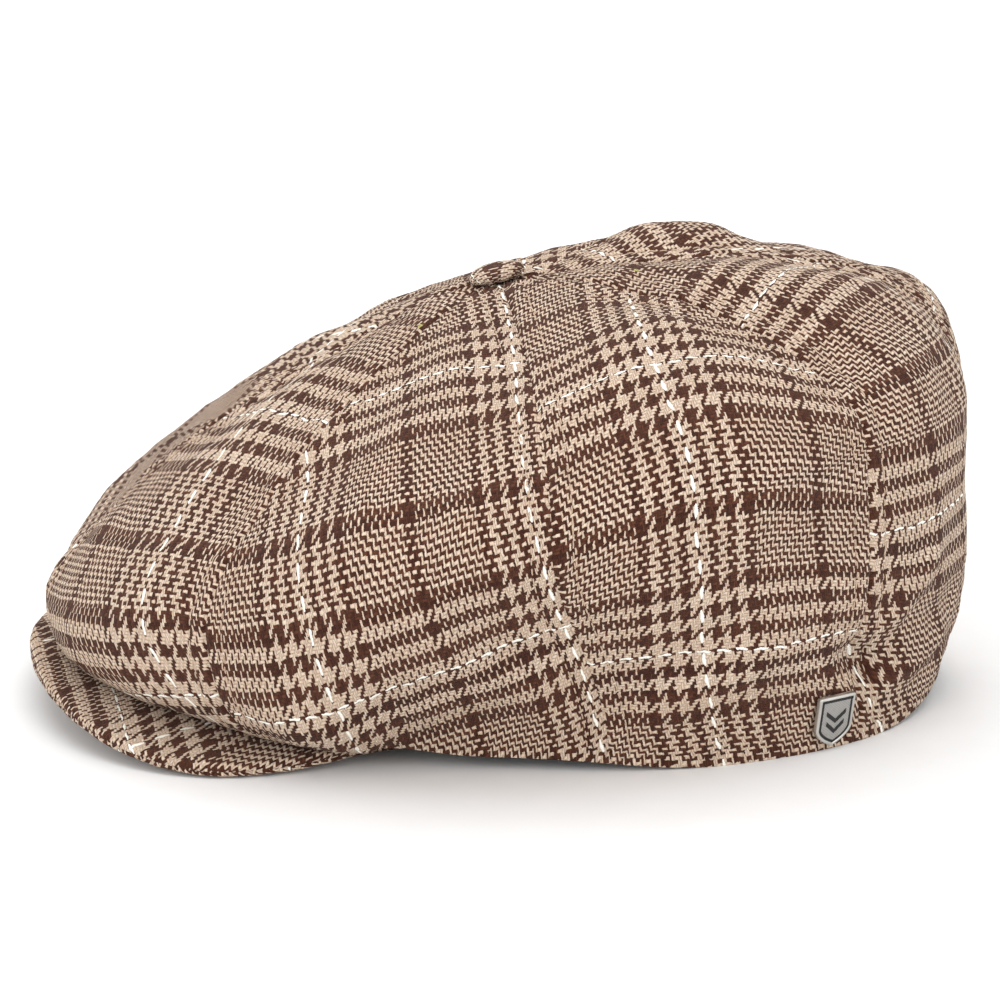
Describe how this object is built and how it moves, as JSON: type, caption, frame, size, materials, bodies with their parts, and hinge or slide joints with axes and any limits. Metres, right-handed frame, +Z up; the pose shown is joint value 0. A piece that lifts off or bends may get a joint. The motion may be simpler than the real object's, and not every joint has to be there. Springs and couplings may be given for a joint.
{
  "type": "newsboy cap",
  "caption": "Gored wool newsboy cap with a covered top button, a full crown drawn over a short stiff peak, a satin lining, a cotton sweatband and a small plain metal shield at the back left.",
  "frame": {"origin": "bottom centre of the whole cap, on the surface it rests on", "axes": "+Z up, -Y towards the peak, +X towards the wearer's left"},
  "size_m": [0.2404, 0.28, 0.1333],
  "materials": {
    "tweed": "woven wool check in beige and dark brown with fine off-white lines",
    "lining_satin": "smooth dark satin",
    "sweatband_cotton": "matte cotton twill",
    "rim_canvas": "stiff canvas tape",
    "peak_board": "pressed fibreboard or plastic sheet",
    "thread": "twisted thread",
    "woven_label": "plain woven label",
    "tinplate": "tinned steel",
    "pewter": "antique pewter",
    "badge_inlay": "dark oxidised recess"
  },
  "bodies": {
    "crown": {"crown_panel_front_left": "tweed", "crown_panel_side_front_left": "tweed", "crown_panel_side_rear_left": "tweed", "crown_panel_rear_left": "tweed", "crown_panel_front_right": "tweed", "crown_panel_side_front_right": "tweed", "crown_panel_side_rear_right": "tweed", "crown_panel_rear_right": "tweed", "lining_panel_front_left": "lining_satin", "lining_panel_side_front_left": "lining_satin", "lining_panel_side_rear_left": "lining_satin", "lining_panel_rear_left": "lining_satin", "lining_panel_front_right": "lining_satin", "lining_panel_side_front_right": "lining_satin", "lining_panel_side_rear_right": "lining_satin", "lining_panel_rear_right": "lining_satin", "crown_label": "woven_label", "size_label": "woven_label", "care_label": "woven_label", "rim_tape": "rim_canvas", "sweatband": "sweatband_cotton", "button_cover": "tweed", "button_shell": "tinplate", "button_back": "tinplate", "button_thread": "thread", "badge_shield": "pewter", "badge_inlay": "badge_inlay", "badge_washer": "tinplate"},
    "peak": {"peak_under_cover": "tweed", "peak_board": "peak_board", "peak_top_cover": "tweed"}
  },
  "joints": [
    {"name": "peak_flex", "type": "hinge", "parent": "crown", "child": "peak", "pos_m": [0, -0.0225, 0.0055], "axis": [1, 0, 0], "range_deg": [0, 8]}
  ]
}
